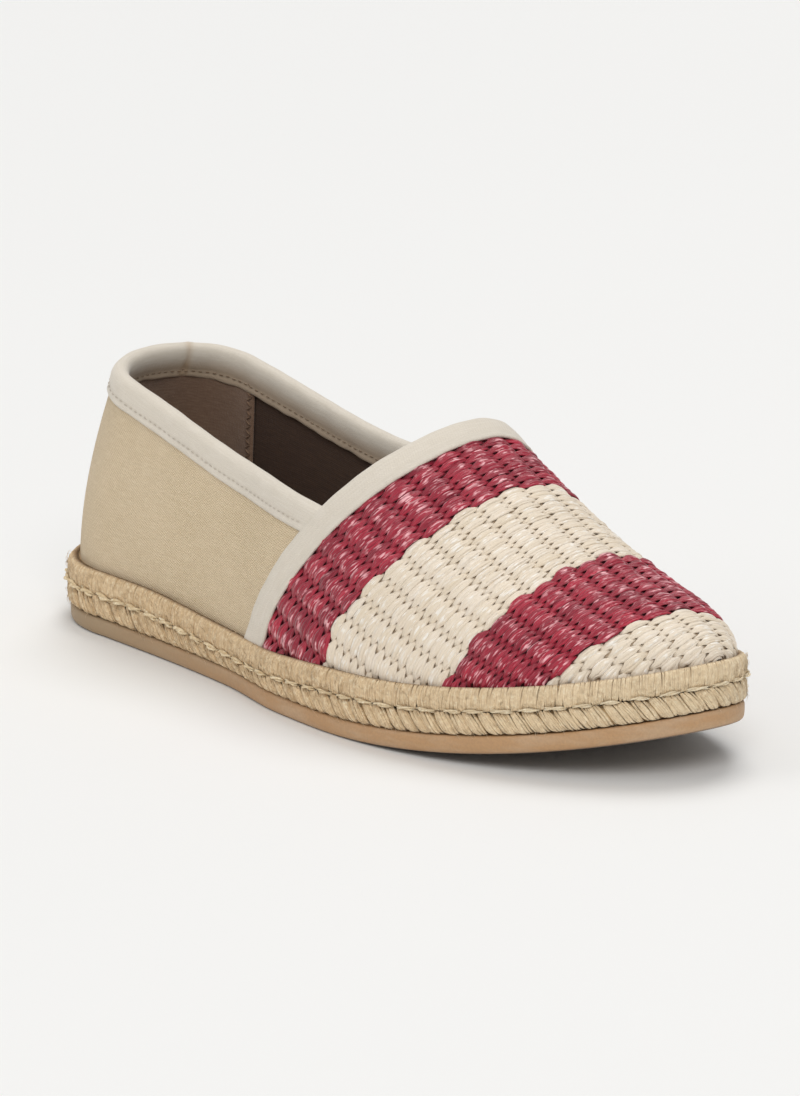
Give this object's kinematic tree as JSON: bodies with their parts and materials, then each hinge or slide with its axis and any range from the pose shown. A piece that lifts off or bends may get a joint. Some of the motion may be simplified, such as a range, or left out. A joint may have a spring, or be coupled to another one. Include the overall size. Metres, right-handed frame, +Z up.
{
  "type": "espadrille",
  "caption": "Right slip-on espadrille: braided jute sole on thin rubber, striped woven vamp, canvas quarters, taped collar, hollow inside.",
  "frame": {"origin": "on the floor under the middle of the sole's outline", "axes": "+X from heel to toe, +Y to the wearer's left, which is the inner side of this right shoe, +Z up"},
  "size_m": [0.252, 0.0866, 0.0811],
  "materials": {
    "outsole_rubber": "matt tan rubber",
    "jute": "braided natural jute",
    "insole": "brown cloth",
    "upper_fabric": "beige twill canvas and ribbed weave in raspberry and cream",
    "tape": "off-white cotton tape"
  },
  "bodies": {
    "root": {"outsole": "outsole_rubber", "jute_midsole": "jute", "jute_foxing": "jute", "insole": "insole", "upper": "upper_fabric", "collar_binding": "tape", "vamp_binding": "tape"}
  },
  "joints": []
}
